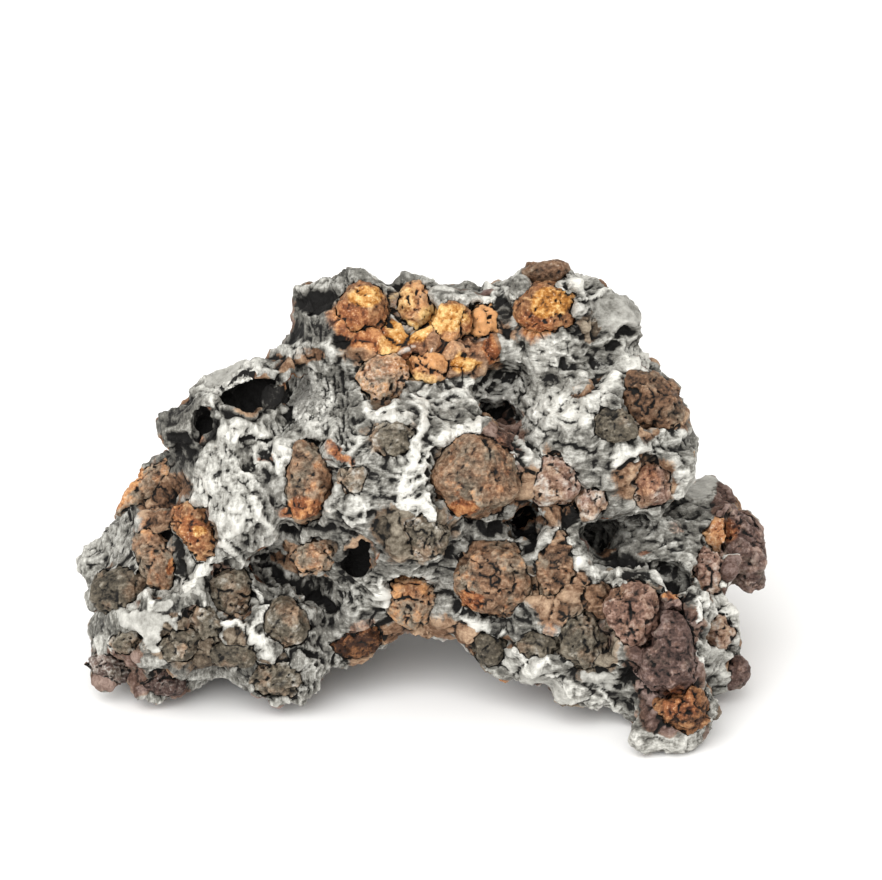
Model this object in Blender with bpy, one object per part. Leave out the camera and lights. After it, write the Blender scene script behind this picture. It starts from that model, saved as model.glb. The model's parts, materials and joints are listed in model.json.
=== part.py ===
"""Pallasite meteorite: a nickel-iron matrix that holds rounded olivine crystals.

The matrix is one piece of metal, with a socket for each crystal and a few sockets that have
lost theirs. Each crystal is a separate piece, seated in its socket with a hairline gap. The
stone stands on three small flat spots, with a low arch below it.

The face of the stone is described as it is seen from the front, a little above the table:
"across" and "up" are measured square to that line of sight, from the face's centre, and
"back" is the distance behind the middle of the stone. Tables are in millimetres and degrees.
"""

import math
import random

import bmesh
import bpy
import numpy as np
from mathutils import Matrix, Vector, noise
from mathutils.bvhtree import BVHTree

MM = 0.001

# The line of sight along which the face is described.
SIGHT_TILT = math.radians(24)
EYE_DISTANCE = 450 * MM
FACE_CENTRE = Vector((0, 0, 21.2 * MM))
ACROSS = Vector((1, 0, 0))
UP = Vector((0, math.sin(SIGHT_TILT), math.cos(SIGHT_TILT)))
TOWARD = Vector((0, -math.cos(SIGHT_TILT), math.sin(SIGHT_TILT)))
EYE = FACE_CENTRE + ACROSS * (2.25 * MM) + UP * (8 * MM) + TOWARD * EYE_DISTANCE

# How the solids are made.
GAP = 0.35 * MM  # between a crystal and its socket or its neighbour
FUSE_STEP = 0.9 * MM  # grid that fuses the lumps into one body
MATRIX_TRIANGLES = 2200  # of the body, before its sockets are cut
COLLAR = 1.2 * MM  # of matrix round each crystal
COLLAR_SINK = 0.35  # of a crystal's half depth
CRYSTAL_SINK = 0.15  # of a crystal's half depth
STEEPNESS = 2.8  # 2 would be an ellipsoid, more is steeper at the sides
MOUTH = 3.5 * MM  # how far a socket runs out past its crystal
COARSE_RELIEF, COARSE_SCALE = 1.6 * MM, 12 * MM
FINE_RELIEF, FINE_SCALE = 1.0 * MM, 4.5 * MM
STONE_MIDDLE = Vector((0, 0, 23 * MM))  # where rays from all round aim
FAR = 200 * MM
FLAT = math.radians(1)

# Lumps of the matrix: across, up, back, half width, half depth, half height, roll.
LUMPS = {
    "left_lobe": (-30.6, -11.5, -3, 10.6, 15, 10.8, 0),
    "left_lobe_inner": (-20.2, -14.7, -6, 7.8, 12, 7.8, 0),
    "left_shoulder": (-33.6, -3.2, 0, 6.6, 10, 5.4, 20),
    "left_toe": (-37.8, -16.9, -5, 4.2, 8, 4.7, 0),
    "left_spur": (-40.8, -7.2, 0, 2.4, 4, 2.7, -20),
    "upper_left": (-24.4, 10.6, -2, 6.6, 9, 5.8, 10),
    "upper_left_knob": (-29.9, 10.0, -2, 3.2, 5, 2.6, 20),
    "upper_left_ridge": (-21.5, 16.2, 0, 5.4, 5, 2.6, 15),
    "left_flank": (-22.9, 3.0, -2, 7.75, 13, 9.3, 0),
    "middle": (-4.1, 3.0, 0, 15.6, 17, 15.3, 0),
    "crown_left": (-9.6, 21.5, 7, 6.8, 9, 6.4, 0),
    "crown_left_corner": (-14.3, 24.4, 6, 2.2, 5, 2.7, 0),
    "crown_left_top": (-8.2, 27.2, 8, 3.6, 5, 2.1, -10),
    "crown_left_foot": (-16.0, 19.6, 5, 2.9, 5, 2.9, -30),
    "crown_middle": (2.1, 21.2, 8, 7.5, 10, 5.3, 0),
    "crown_saddle": (9.3, 22.0, 8, 4.0, 8, 3.7, -10),
    "peak": (16.6, 22.6, 8, 8.0, 9, 6.6, 0),
    "peak_corner": (23.6, 22.2, 6, 4.0, 5, 4.2, 0),
    "peak_cap": (15.4, 27.9, 9, 4.2, 5, 2.2, 0),
    "right_flank": (21.2, 9.0, 3, 10.6, 14, 10.6, 0),
    "right_flank_rim": (30.6, 7.0, 0, 3.6, 8, 5.5, 25),
    "right_shoulder": (30.6, -4.9, 0, 8.8, 12, 6.8, 0),
    "right_leg": (27.1, -14.5, -10, 10.0, 13, 9.3, 0),
    "right_side": (35.0, -16.5, -8, 4.4, 9, 7.0, 0),
    "right_side_low": (37.0, -21.2, -11, 2.9, 4, 2.6, 0),
    "right_foot": (30.9, -25.3, -19, 5.2, 8, 4.4, 0),
    "right_toe": (29.6, -29.0, -25, 4.6, 3, 1.7, -15),
    "leg_root": (20.8, -22.4, -15, 6.0, 7, 2.7, -28),
    "low_middle": (8.6, -9.3, -7, 6.5, 9, 5.5, 0),
    "low_right": (16.6, -7.6, -8, 4.5, 8, 6.0, 0),
    "belly": (14.6, -14.9, -8, 9.2, 11, 6.4, 0),
    "arch": (-6.0, -12.0, -4, 6.9, 10, 5.2, 0),
    "arch_top": (3.5, -11.0, -5, 7.5, 9, 6.0, 0),
    "back": (2.0, 9.3, 12, 24.0, 12, 17.0, 0),
    "right_heel": (20.5, -6.0, 12, 12.0, 11, 10.5, 0),
    "left_heel": (-19.0, -4.9, 10, 12.5, 12, 12.3, 0),
}

# Sockets that have lost their crystal: across, up, half across, half up, roll, half depth, sink.
EMPTY_SOCKETS = {
    "under_left_ridge": (-22.3, 13.2, 4.0, 2.0, 20, 3.5, 0.2),
    "behind_knob": (-27.8, 10.2, 1.4, 2.2, -10, 3.5, 0.2),
    "over_arch": (-7.9, -7.0, 1.9, 3.0, -20, 5.0, 0.1),
    "over_middle": (9.8, 11.3, 3.4, 1.5, -20, 4.0, 0.1),
    "right_cave": (31.2, -9.0, 3.6, 2.0, -38, 5.0, 0.1),
}

# Crystals of the face, by place on the stone: across, up, half across, half up, roll, kind.
# A seventh value is the distance behind the middle, for one that stands over the stone's edge.
FACE_CRYSTALS = {
    "left": [
        (-38.1, -10.8, 3.5, 3.1, 0, "umber"),
        (-33.3, -7.0, 2.6, 4.8, 15, "brown"),
        (-28.3, -3.3, 2.5, 4.5, 32, "amber"),
        (-24.0, -10.8, 3.1, 3.6, 0, "umber"),
        (-17.1, -14.9, 3.3, 3.4, 0, "umber"),
        (-37.1, -17.3, 2.2, 1.8, 0, "umber"),
        (-30.4, -17.8, 2.9, 2.4, 0, "umber"),
        (-27.1, -14.6, 2.8, 1.8, -40, "umber"),
        (-39.1, -20.5, 2.9, 1.8, -15, "plum"),
        (-32.5, -22.5, 3.0, 1.6, 10, "plum"),
        (-18.1, -21.6, 4.0, 2.6, 0, "umber"),
        (-35.0, 2.0, 5.5, 1.6, 45, "brown", -2.0),
        (-8.3, -17.4, 3.8, 1.9, 15, "amber"),
        (-13.5, -6.6, 2.8, 2.4, 20, "brown"),
        (-23.6, -18.7, 3.3, 2.0, -5, "umber"),
    ],
    "centre": [
        (6.4, 3.5, 5.8, 5.8, 0, "brown"),
        (8.6, -9.3, 5.3, 5.0, 0, "brown"),
        (-14.3, 2.8, 3.5, 5.3, 0, "brown"),
        (-1.4, -11.8, 3.6, 3.9, 0, "brown"),
        (-3.9, 8.0, 3.0, 2.5, 15, "umber"),
        (-8.9, 2.9, 2.1, 2.3, 0, "umber"),
        (0.3, -3.9, 3.3, 2.8, -20, "umber"),
        (16.5, 3.0, 3.3, 3.5, 0, "rose"),
        (16.6, -7.6, 2.5, 4.8, -12, "brown"),
        (21.1, 0.3, 2.1, 2.3, 0, "rose"),
        (8.4, -18.0, 2.8, 2.1, 0, "umber"),
        (14.4, -17.4, 3.0, 2.0, 0, "umber"),
        (-4.9, 15.8, 3.4, 3.5, 0, "brown"),
    ],
    "crown": [
        (-7.5, 24.6, 3.3, 3.6, 0, "amber"),
        (-1.0, 24.5, 2.8, 3.4, 0, "amber"),
        (3.6, 22.8, 3.0, 2.8, 0, "amber"),
        (7.6, 22.6, 2.3, 2.8, 0, "amber"),
        (15.3, 24.5, 4.0, 3.8, 0, "amber"),
        (15.3, 29.0, 3.3, 1.6, 5, "brown", 6.0),
        (0.3, 17.0, 3.0, 2.1, -10, "amber"),
    ],
    "right": [
        (28.3, 12.8, 4.8, 3.4, -35, "brown"),
        (24.0, 9.8, 3.1, 2.4, 0, "umber"),
        (28.4, 2.5, 3.1, 3.0, 0, "rose"),
        (39.9, -5.8, 3.0, 5.3, 15, "plum", -3.0),
        (37.2, -4.1, 2.1, 2.7, 10, "amber"),
        (35.6, -8.3, 2.4, 3.3, 0, "rose"),
        (37.0, -15.9, 2.1, 2.2, 0, "rose"),
        (39.3, -21.3, 2.0, 2.4, 0, "plum", -13.0),
        (26.3, -13.5, 3.5, 4.5, 0, "rose"),
        (30.5, -18.9, 3.8, 5.6, 0, "plum"),
        (32.6, -25.5, 3.6, 3.1, 0, "amber"),
        (20.0, -17.0, 3.3, 3.8, 0, "umber"),
        (30.4, -13.4, 2.7, 2.3, 0, "plum"),
        (21.9, -12.2, 2.6, 2.8, 20, "brown"),
    ],
}

# Crystals of the far side: bearing (0 is the front, 90 the right), height angle, half across,
# half up, roll, kind.
FAR_CRYSTALS = [
    (180, 5, 5.2, 4.6, 0, "brown"),
    (205, 28, 4.2, 4.8, 20, "umber"),
    (152, 25, 4.6, 3.9, -15, "rose"),
    (222, -2, 4.0, 4.6, 0, "plum"),
    (148, -12, 4.4, 3.6, 10, "umber"),
    (196, -20, 3.4, 3.0, 0, "brown"),
    (180, 48, 4.0, 3.2, 0, "amber"),
    (240, 12, 4.2, 3.3, 15, "brown"),
    (122, 8, 3.8, 4.4, 0, "umber"),
    (100, -10, 3.2, 3.8, 0, "brown"),
]

# Small crystals, fused to the matrix here: across, up, half across, half up, roll.
SMALL_CRYSTALS = [
    (-39.5, -14.6, 1.5, 1.1, 0),
    (-31.0, -12.8, 1.4, 1.1, 0),
    (-29.3, -7.8, 1.1, 1.7, 0),
    (-17.2, -8.5, 1.8, 2.2, 10),
    (15.6, -2.3, 2.3, 2.0, -20),
    (2.9, -15.4, 2.5, 1.8, -10),
    (-6.5, 20.8, 2.5, 1.1, 5),
    (21.4, 27.6, 1.5, 1.1, 30),
    (4.8, 17.3, 1.8, 1.8, 0),
    (8.3, 18.5, 1.9, 1.8, 0),
    (31.4, -2.8, 2.0, 1.6, 20),
]

# Colour, roughness and metallic value of each finish.
FINISHES = {
    "nickel_iron": ((0.34, 0.33, 0.31), 0.45, 0.9),
    "amber": ((0.55, 0.24, 0.05), 0.4, 0.0),
    "brown": ((0.20, 0.11, 0.065), 0.6, 0.0),
    "umber": ((0.11, 0.09, 0.07), 0.65, 0.0),
    "rose": ((0.25, 0.13, 0.095), 0.6, 0.0),
    "plum": ((0.13, 0.075, 0.065), 0.55, 0.0),
}


def clear_scene():
    for obj in list(bpy.data.objects):
        bpy.data.objects.remove(obj)


def finish(name):
    """The material of that name, made once."""
    material = bpy.data.materials.get(name)
    if material:
        return material
    colour, roughness, metallic = FINISHES[name]
    material = bpy.data.materials.new(name)
    material.use_nodes = True
    shader = material.node_tree.nodes["Principled BSDF"]
    shader.inputs["Base Color"].default_value = (*colour, 1)
    shader.inputs["Roughness"].default_value = roughness
    shader.inputs["Metallic"].default_value = metallic
    return material


def add_object(name, mesh, parent, material=None):
    obj = bpy.data.objects.new(name, mesh)
    bpy.context.scene.collection.objects.link(obj)
    obj.parent = parent
    if material:
        mesh.materials.append(finish(material))
    return obj


def as_cutter(obj):
    obj.hide_render = True
    obj.display_type = "WIRE"
    return obj


def evaluated_mesh(obj):
    """A new mesh with the object's modifiers applied."""
    bpy.context.view_layer.update()
    graph = bpy.context.evaluated_depsgraph_get()
    return bpy.data.meshes.new_from_object(obj.evaluated_get(graph))


def sight(across, up):
    """Direction of the line of sight through a point of the face."""
    return (FACE_CENTRE + ACROSS * across + UP * up - EYE).normalized()


def seen_at(across, up, back):
    """The point that is seen there and lies that far behind the stone's middle."""
    ray = sight(across, up)
    return EYE + ray * ((back - EYE.y) / ray.y)


def turned(roll, toward=TOWARD, across=ACROSS):
    """Axes of a shape that faces along toward, rolled about it: columns across, up, toward."""
    side = (across - toward * across.dot(toward)).normalized()
    axes = Matrix((side, toward.cross(side), toward)).transposed()
    return axes @ Matrix.Rotation(roll, 3, "Z")


def add_ellipsoid(work, centre, axes, radii, fineness=3):
    place = axes.to_4x4()
    place.translation = centre
    place = place @ Matrix.Diagonal((*radii, 1))
    bmesh.ops.create_icosphere(work, subdivisions=fineness, radius=1, matrix=place)


def seat(tree, across, up, half_depth, sink):
    """Centre of a shape set into the surface where the line of sight meets it."""
    ray = sight(across, up)
    hit = tree.ray_cast(EYE, ray)[0]
    if hit is None:
        raise ValueError(f"nothing carries a crystal at {across}, {up}")
    return hit + ray * half_depth * sink


def surface_tree(mesh):
    points = [vertex.co for vertex in mesh.vertices]
    return BVHTree.FromPolygons(points, [face.vertices for face in mesh.polygons])


def as_mesh(work, name):
    mesh = bpy.data.meshes.new(name)
    work.to_mesh(mesh)
    work.free()
    return mesh


def fused(mesh):
    """The overlapping shapes of a mesh as one closed surface."""
    helper = add_object("helper", mesh, None)
    remesh = helper.modifiers.new("Fuse", "REMESH")
    remesh.mode = "VOXEL"
    remesh.voxel_size = FUSE_STEP
    result = evaluated_mesh(helper)
    bpy.data.objects.remove(helper)
    return result


def make_body():
    """The lumps, fused: the matrix before its small crystals, relief and sockets."""
    work = bmesh.new()
    for across, up, back, width, depth, height, roll in LUMPS.values():
        centre = seen_at(across * MM, up * MM, back * MM)
        axes = Matrix.Rotation(-math.radians(roll), 3, "Y")
        add_ellipsoid(work, centre, axes, Vector((width, depth, height)) * MM)
    return fused(as_mesh(work, "lumps"))


def dress(body, tree, places):
    """The body with its smallest crystals fused on and a collar round each of the others."""
    work = bmesh.new()
    work.from_mesh(body)
    for name, centre, axes, radii, kind, collar in places:
        sunk = centre - axes.col[2] * radii[2] * COLLAR_SINK
        add_ellipsoid(work, sunk, axes, (radii[0] + collar, radii[1] + collar, radii[2]))
    for across, up, half_across, half_up, roll in SMALL_CRYSTALS:
        half_depth = min(half_across, half_up) * MM
        centre = seat(tree, across * MM, up * MM, half_depth, 0.2)
        radii = (half_across * MM, half_up * MM, half_depth)
        add_ellipsoid(work, centre, turned(math.radians(roll)), radii)
    return fused(as_mesh(work, "dressed"))


def roughen(mesh):
    """Moves the surface in and out, in broad swells and in smaller lumps."""
    mesh.update()
    normals = [vertex.normal.copy() for vertex in mesh.vertices]
    for vertex, normal in zip(mesh.vertices, normals):
        coarse = noise.fractal(vertex.co / COARSE_SCALE, 1.0, 2.0, 2)
        fine = noise.fractal(vertex.co / FINE_SCALE, 1.0, 2.0, 3)
        vertex.co += normal * (coarse * COARSE_RELIEF + fine * FINE_RELIEF)


def thinned(mesh, triangles):
    """The mesh with about that many triangles."""
    helper = add_object("helper", mesh, None)
    helper.modifiers.new("Triangles", "TRIANGULATE")
    thin = helper.modifiers.new("Thin", "DECIMATE")
    thin.ratio = triangles / (2 * len(mesh.polygons))
    result = evaluated_mesh(helper)
    bpy.data.objects.remove(helper)
    return result


def crystal_points(radii, seed, swell=0.0):
    """Corners of a crystal: a cobble with steep sides, flattish ends and an uneven outline."""
    rng = random.Random(seed)
    size = (radii[0] + radii[1]) / 2
    count = 11 + round(size / MM * 2.6)
    turn = math.pi * (3 - math.sqrt(5))
    swing = rng.uniform(0, math.tau), rng.uniform(0, math.tau)
    points = []
    for i in range(count):
        z = 1 - (2 * i + 1) / count
        ring = math.sqrt(1 - z * z)
        angle = turn * i + rng.uniform(-0.15, 0.15)
        steep = (ring**STEEPNESS + abs(z) ** STEEPNESS) ** (-1 / STEEPNESS)
        outline = 1 + 0.05 * math.cos(2 * angle + swing[0]) + 0.05 * math.cos(3 * angle + swing[1])
        side = ring * steep * outline * (1 + rng.uniform(-0.03, 0.03))
        corner = Vector((math.cos(angle) * side, math.sin(angle) * side, z * steep))
        outward = Vector((math.cos(angle) * ring, math.sin(angle) * ring, z))
        points.append(Vector(r * c + o * swell for r, c, o in zip(radii, corner, outward)))
    return points


def crystal_mesh(name, points, centre, axes):
    """The flat-sided closed shape round those corners."""
    work = bmesh.new()
    for point in points:
        work.verts.new(centre + axes @ point)
    made = bmesh.ops.convex_hull(work, input=work.verts[:])
    loose = set(made["geom_interior"]) | set(made["geom_unused"])
    bmesh.ops.delete(work, geom=[v for v in loose if isinstance(v, bmesh.types.BMVert)])
    bmesh.ops.dissolve_limit(work, angle_limit=FLAT, verts=work.verts[:], edges=work.edges[:])
    bmesh.ops.recalc_face_normals(work, faces=work.faces[:])
    return as_mesh(work, name)


def cut(obj, cutter):
    boolean = obj.modifiers.new(f"Clear {cutter.name}", "BOOLEAN")
    boolean.operation = "DIFFERENCE"
    boolean.solver = "EXACT"
    boolean.object = cutter


def near(first, second):
    """Whether the boxes of two objects' meshes meet."""
    a = np.array([v.co for v in first.data.vertices])
    b = np.array([v.co for v in second.data.vertices])
    return bool((a.min(0) < b.max(0)).all() and (b.min(0) < a.max(0)).all())


def crystal_places(tree):
    """(name, centre, axes, radii, kind, collar) of every crystal."""
    places = []
    for zone, rows in FACE_CRYSTALS.items():
        for number, row in enumerate(rows, 1):
            across, up, half_across, half_up, roll, kind = row[:6]
            half_depth = 0.85 * min(half_across, half_up)
            if len(row) > 6:
                centre = seen_at(across * MM, up * MM, row[6] * MM)
                collar = 0.0
            else:
                centre = seat(tree, across * MM, up * MM, half_depth * MM, CRYSTAL_SINK)
                collar = COLLAR
            scale = (centre - EYE).length / EYE_DISTANCE * MM
            radii = (half_across * scale, half_up * scale, half_depth * scale)
            name = f"olivine_{zone}_{number:02d}"
            axes = turned(math.radians(roll))
            places.append((name, centre, axes, radii, kind, collar))
    for number, row in enumerate(FAR_CRYSTALS, 1):
        bearing, height, half_across, half_up, roll, kind = row
        level = Matrix.Rotation(math.radians(bearing), 3, "Z")
        lifted = Matrix.Rotation(-math.radians(height), 3, "X")
        outward = level @ lifted @ Vector((0, -1, 0))
        hit = tree.ray_cast(STONE_MIDDLE + outward * FAR, -outward)[0]
        half_depth = 0.8 * min(half_across, half_up)
        centre = hit - outward * half_depth * CRYSTAL_SINK * MM
        axes = turned(math.radians(roll), outward, level @ ACROSS)
        radii = (half_across * MM, half_up * MM, half_depth * MM)
        places.append((f"olivine_far_{number:02d}", centre, axes, radii, kind, COLLAR))
    return places


def make_crystals(places, frame):
    """Each crystal with its cutter. A crystal gives way to the ones made before it."""
    pairs = []
    for seed, (name, centre, axes, radii, kind, collar) in enumerate(places):
        shape = crystal_mesh(name, crystal_points(radii, seed), centre, axes)
        crystal = add_object(name, shape, frame, kind)
        swollen = crystal_points(radii, seed, GAP)
        mouth = [point + Vector((0, 0, MOUTH)) for point in swollen]
        cutter_shape = crystal_mesh(f"{name}_socket", swollen + mouth, centre, axes)
        cutter = as_cutter(add_object(f"{name}_socket", cutter_shape, frame))
        for _, earlier in pairs:
            if near(crystal, earlier):
                cut(crystal, earlier)
        pairs.append((crystal, cutter))
    return pairs


def make_empty_sockets(tree, frame):
    cutters = []
    for seed, (name, row) in enumerate(EMPTY_SOCKETS.items(), 500):
        across, up, half_across, half_up, roll, half_depth, sink = row
        centre = seat(tree, across * MM, up * MM, half_depth * MM, sink)
        radii = tuple(r * MM for r in (half_across, half_up, half_depth))
        shape = crystal_mesh(name, crystal_points(radii, seed), centre, turned(math.radians(roll)))
        cutters.append(as_cutter(add_object(f"hollow_{name}", shape, frame)))
    return cutters


def make_table(frame):
    """The space below the table, which cuts the feet flat."""
    work = bmesh.new()
    size = Matrix.Diagonal((FAR, FAR, FAR / 4, 1))
    bmesh.ops.create_cube(work, size=1, matrix=Matrix.Translation((0, 0, -FAR / 8)) @ size)
    return as_cutter(add_object("table", as_mesh(work, "table"), frame))


def centre_on_origin(frame, objects):
    """Moves the whole stone so that the origin is below the middle of its box."""
    low, high = Vector((FAR,) * 3), Vector((-FAR,) * 3)
    for obj in objects:
        for vertex in evaluated_mesh(obj).vertices:
            low = Vector(map(min, low, vertex.co))
            high = Vector(map(max, high, vertex.co))
    middle = (low + high) / 2
    frame.location = (-middle.x, -middle.y, 0)
    print("stone from", tuple(low), "to", tuple(high))


def main():
    clear_scene()
    frame = bpy.data.objects.new("stone_frame", None)
    bpy.context.scene.collection.objects.link(frame)
    lumps = make_body()
    places = crystal_places(surface_tree(lumps))
    body = dress(lumps, surface_tree(lumps), places)
    roughen(body)
    body = thinned(fused(body), MATRIX_TRIANGLES)
    tree = surface_tree(body)
    matrix = add_object("nickel_iron_matrix", body, frame, "nickel_iron")
    pairs = make_crystals(places, frame)
    table = make_table(frame)
    for cutter in make_empty_sockets(tree, frame):
        cut(matrix, cutter)
    for crystal, cutter in pairs:
        cut(matrix, cutter)
        cut(crystal, table)
    cut(matrix, table)
    centre_on_origin(frame, [matrix] + [crystal for crystal, _ in pairs])


main()
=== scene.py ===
import itertools
import json
import math

import bmesh
import bpy
import numpy as np
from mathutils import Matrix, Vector
from mathutils.bvhtree import BVHTree


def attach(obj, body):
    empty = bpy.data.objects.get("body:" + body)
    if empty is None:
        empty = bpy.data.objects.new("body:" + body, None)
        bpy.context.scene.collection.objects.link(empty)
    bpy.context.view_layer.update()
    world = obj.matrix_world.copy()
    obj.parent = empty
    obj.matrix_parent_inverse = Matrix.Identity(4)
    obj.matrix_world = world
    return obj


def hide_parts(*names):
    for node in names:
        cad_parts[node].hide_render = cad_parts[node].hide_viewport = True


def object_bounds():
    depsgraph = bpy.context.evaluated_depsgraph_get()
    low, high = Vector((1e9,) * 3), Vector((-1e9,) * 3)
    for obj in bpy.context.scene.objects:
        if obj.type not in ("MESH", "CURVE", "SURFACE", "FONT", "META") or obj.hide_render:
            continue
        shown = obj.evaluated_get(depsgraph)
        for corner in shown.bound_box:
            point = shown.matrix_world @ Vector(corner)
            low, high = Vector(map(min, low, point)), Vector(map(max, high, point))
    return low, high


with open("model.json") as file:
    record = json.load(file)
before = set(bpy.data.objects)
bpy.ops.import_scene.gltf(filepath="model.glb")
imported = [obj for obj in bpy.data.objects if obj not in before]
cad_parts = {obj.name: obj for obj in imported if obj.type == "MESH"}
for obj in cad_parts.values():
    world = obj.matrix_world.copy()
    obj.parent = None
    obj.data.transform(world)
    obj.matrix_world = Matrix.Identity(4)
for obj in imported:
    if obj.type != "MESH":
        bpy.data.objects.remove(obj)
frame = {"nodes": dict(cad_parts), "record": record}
cadLow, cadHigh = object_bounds()
mm = 0.001

# The line of sight of the photograph. Places on the face are given as it sees them, in
# millimetres across and up from the face's centre.
viewSettings = {
    "tiltDegrees": 24,
    "eyeDistance": 450,
    "faceCentre": (0.408, 0.237, 21.2),
    "eyeAcross": 2.25,
    "eyeUp": 8.0,
    "lens": 146.94,
    "sensor": 36,
}

tilt = math.radians(viewSettings["tiltDegrees"])
eyeDistance = viewSettings["eyeDistance"] * mm
rightward = np.array((1.0, 0.0, 0.0))
upward = np.array((0.0, math.sin(tilt), math.cos(tilt)))
toward = np.array((0.0, -math.cos(tilt), math.sin(tilt)))
faceCentre = np.array(viewSettings["faceCentre"]) * mm
eyeShift = np.array((viewSettings["eyeAcross"], viewSettings["eyeUp"])) * mm
eye = faceCentre + rightward * eyeShift[0] + upward * eyeShift[1] + toward * eyeDistance

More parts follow.
